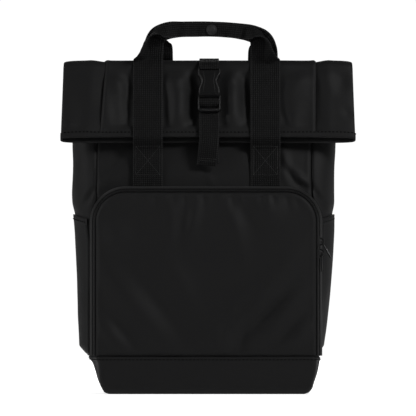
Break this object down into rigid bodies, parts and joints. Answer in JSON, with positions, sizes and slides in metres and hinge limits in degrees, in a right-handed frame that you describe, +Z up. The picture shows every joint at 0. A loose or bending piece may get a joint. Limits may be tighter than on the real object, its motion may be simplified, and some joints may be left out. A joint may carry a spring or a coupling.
{
  "type": "rolltop backpack",
  "caption": "Rolltop backpack with a folded mouth held by a buckled strap, twin webbing handles, a zipped front pocket, slip pockets at the sides and padded shoulder straps.",
  "frame": {"origin": "middle of the underside of the base, on the floor that the bag stands on", "axes": "+Z up; the front with the zipped pocket faces -Y and the shoulder straps face +Y; +X is to the right seen from the front"},
  "size_m": [0.375, 0.192, 0.4729],
  "materials": {
    "cloth": "matt coated woven cloth, near black",
    "webbing": "flat woven webbing, black",
    "padding": "padded woven cloth, near black",
    "plastic": "satin moulded plastic, black",
    "metal": "black lacquered metal"
  },
  "bodies": {
    "bag": {"back_panel": "cloth", "front_panel": "cloth", "side_panel_left": "cloth", "side_panel_right": "cloth", "mouth_binding": "cloth", "base_panel": "cloth", "pocket_face": "cloth", "pocket_gusset_front": "cloth", "pocket_zip_tape": "webbing", "pocket_gusset_back": "cloth", "side_pocket_left": "cloth", "side_pocket_hem_left": "cloth", "side_pocket_right": "cloth", "side_pocket_hem_right": "cloth", "front_handle": "webbing", "rear_handle": "webbing", "stud_cap": "metal", "stud_socket": "metal", "buckle_socket": "plastic", "buckle_clip": "plastic", "closure_strap_upper": "webbing", "closure_strap_lower": "webbing", "zip_slider_upper": "metal", "zip_slider_lower": "metal", "shoulder_strap_left": "padding", "shoulder_strap_right": "padding", "strap_adjuster_left": "plastic", "strap_adjuster_right": "plastic", "strap_tab_left": "webbing", "strap_tab_right": "webbing", "strap_webbing_left": "webbing", "strap_webbing_right": "webbing", "strap_yoke": "cloth"},
    "upper_puller": {"zip_puller_upper": "metal"},
    "lower_puller": {"zip_puller_lower": "metal"}
  },
  "joints": [
    {"name": "upper_puller_swing", "type": "hinge", "parent": "bag", "child": "upper_puller", "pos_m": [0.14401, -0.05185, 0.1931], "axis": [-0.1478, -0.989, 0], "range_deg": [-4, 90]},
    {"name": "lower_puller_swing", "type": "hinge", "parent": "bag", "child": "lower_puller", "pos_m": [0.14401, -0.05185, 0.1789], "axis": [-0.1478, -0.989, 0], "range_deg": [0, 40]}
  ]
}
